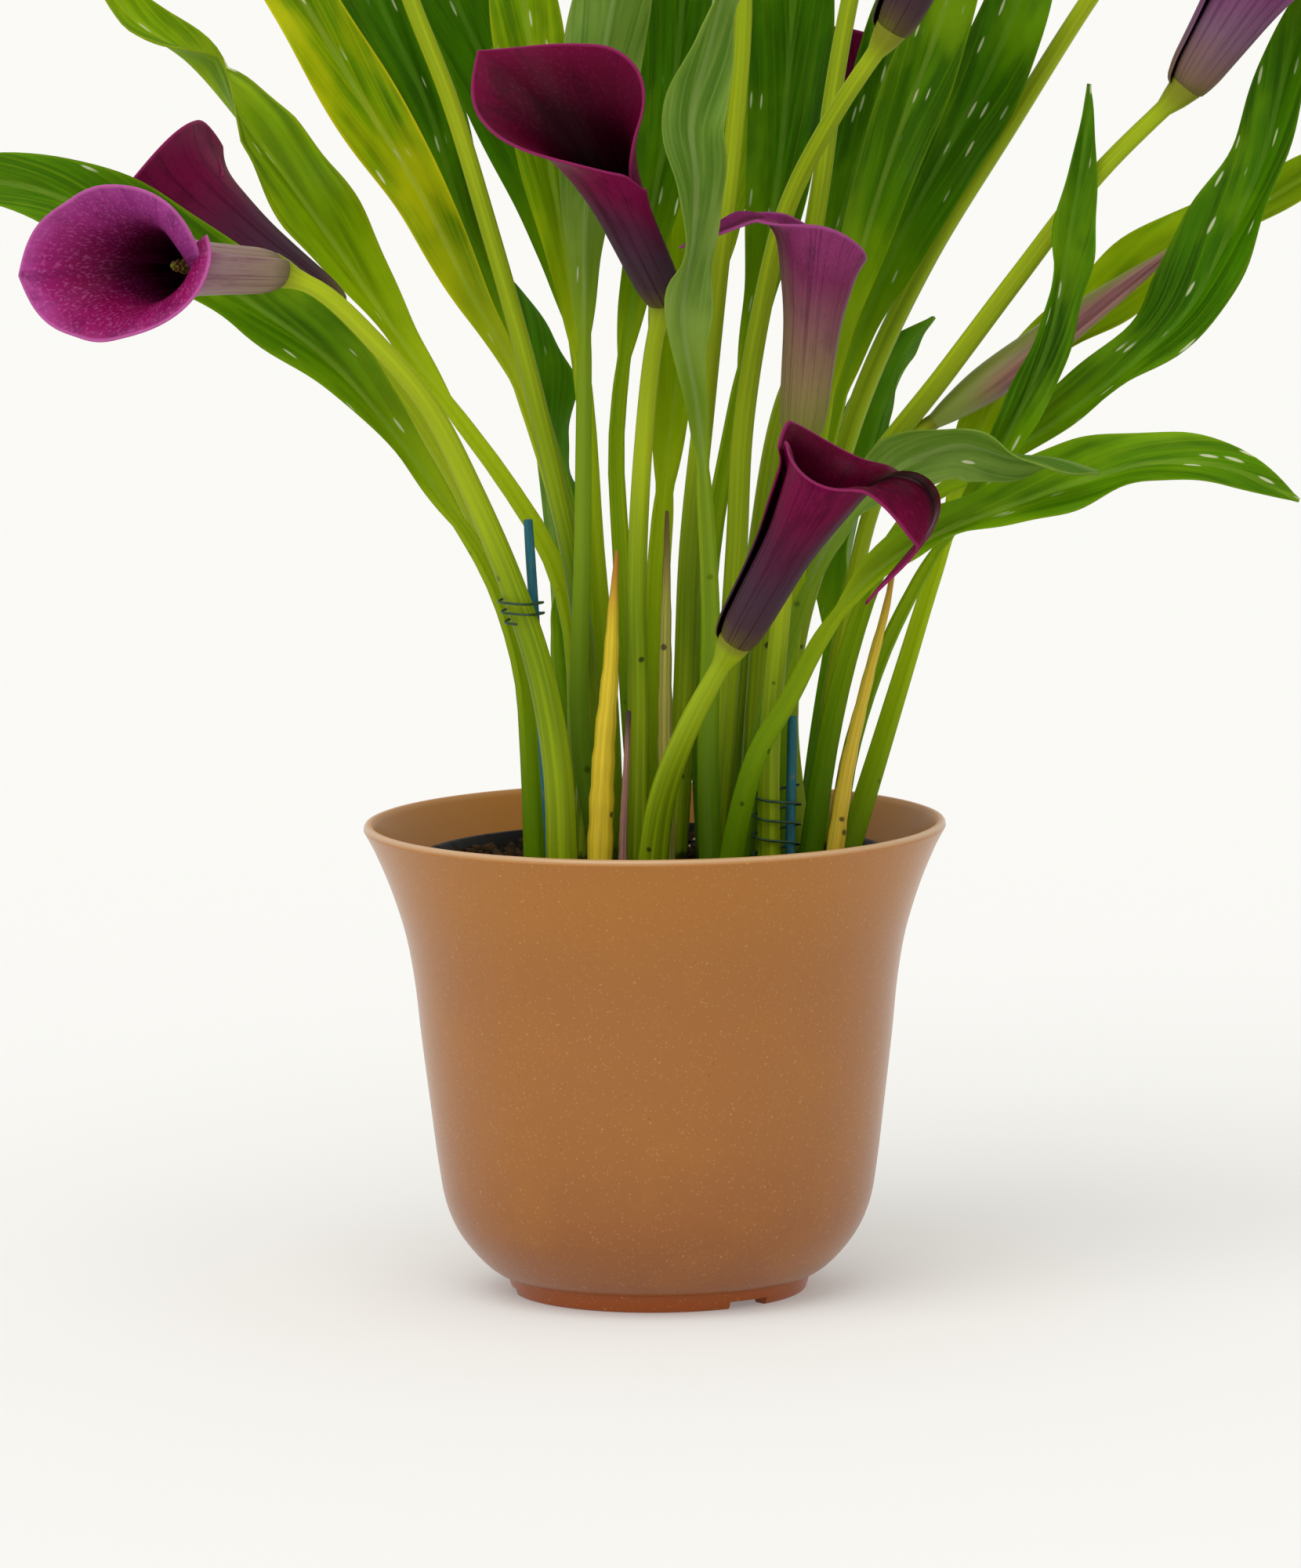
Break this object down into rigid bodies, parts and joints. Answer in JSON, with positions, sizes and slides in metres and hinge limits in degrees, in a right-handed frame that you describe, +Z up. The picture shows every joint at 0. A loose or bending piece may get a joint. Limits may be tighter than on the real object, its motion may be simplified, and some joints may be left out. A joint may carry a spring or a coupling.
{
  "type": "potted calla lily",
  "caption": "Calla lily clump with rolled purple spathes and flecked, wavy leaves, in a nursery pot inside a tapered brown pot with a flared rim.",
  "frame": {"origin": "on the surface that the pot stands on, under the middle of the plant, within a few millimetres of the pot's axis", "axes": "+Z up along the pot's axis, +X to the viewer's right, -Y towards the viewer"},
  "size_m": [0.3916, 0.2095, 0.421],
  "materials": {
    "pot_brown": "satin moulded plant-fibre plastic with fine pale specks",
    "nursery_black": "thin black moulded plastic",
    "potting_mix": "damp dark potting mix with pale grains",
    "tuber_skin": "rough brown skin",
    "stake_teal": "dull coated stick",
    "tie_wire": "green coated wire",
    "leaf_green": "waxy mid green leaf with pale flecks along the veins",
    "leaf_dark": "waxy dark green leaf with pale flecks along the veins",
    "leaf_pale": "dull grey green underside of a leaf",
    "stalk_green": "smooth yellow green stem",
    "sheath_yellow": "dry yellow sheath",
    "sheath_pink": "dry pink brown sheath",
    "sheath_brown": "dry brown sheath",
    "spathe_pink": "satin pink purple spathe with a dark throat",
    "spathe_dark": "satin deep wine spathe with a nearly black throat",
    "spathe_mauve": "satin mauve spathe, green grey at its foot",
    "bud_rose": "rolled bud, rose brown with green edges"
  },
  "bodies": {
    "root": {"pot": "pot_brown", "nursery_pot": "nursery_black", "flower_stalk_1": "stalk_green", "spathe_1": "spathe_pink", "flower_stalk_2": "stalk_green", "spathe_2": "spathe_dark", "flower_stalk_3": "stalk_green", "spathe_3": "spathe_dark", "flower_stalk_4": "stalk_green", "spathe_4": "spathe_mauve", "flower_stalk_5": "stalk_green", "spathe_5": "spathe_dark", "flower_stalk_6": "stalk_green", "spathe_6": "spathe_pink", "flower_stalk_7": "stalk_green", "spathe_7": "spathe_dark", "flower_stalk_8": "stalk_green", "spathe_8": "spathe_dark", "flower_stalk_9": "stalk_green", "spathe_9": "spathe_mauve", "flower_stalk_10": "stalk_green", "spathe_10": "spathe_pink", "flower_stalk_11": "stalk_green", "spathe_11": "spathe_mauve", "flower_stalk_12": "stalk_green", "spathe_12": "spathe_dark", "leaf_left_high": "leaf_green", "leaf_left_low": "leaf_green", "leaf_yellow_edge": "leaf_green", "leaf_speckled_left": "leaf_dark", "leaf_back_left": "leaf_dark", "leaf_mid_left": "leaf_green", "leaf_pale_back": "leaf_pale", "leaf_dark_tall": "leaf_dark", "leaf_front_wavy": "leaf_pale", "leaf_dark_wide": "leaf_dark", "leaf_right_bright": "leaf_green", "leaf_right_inner": "leaf_dark", "leaf_right_dark": "leaf_dark", "leaf_right_upright": "leaf_dark", "leaf_right_broad": "leaf_dark", "leaf_right_light": "leaf_green", "leaf_right_low": "leaf_green", "leaf_right_curled": "leaf_pale", "leaf_behind_left": "leaf_dark", "leaf_behind_mid": "leaf_green", "leaf_behind_right": "leaf_dark", "bud_stalk": "stalk_green", "bud": "bud_rose", "sheath_yellow": "sheath_yellow", "sheath_pink": "sheath_pink", "sheath_brown": "sheath_brown", "sheath_right": "sheath_yellow", "stake_left": "stake_teal", "stake_right": "stake_teal", "tie_left": "tie_wire", "tie_right": "tie_wire", "tuber_left": "tuber_skin", "tuber_right": "tuber_skin", "soil": "potting_mix"}
  },
  "joints": []
}
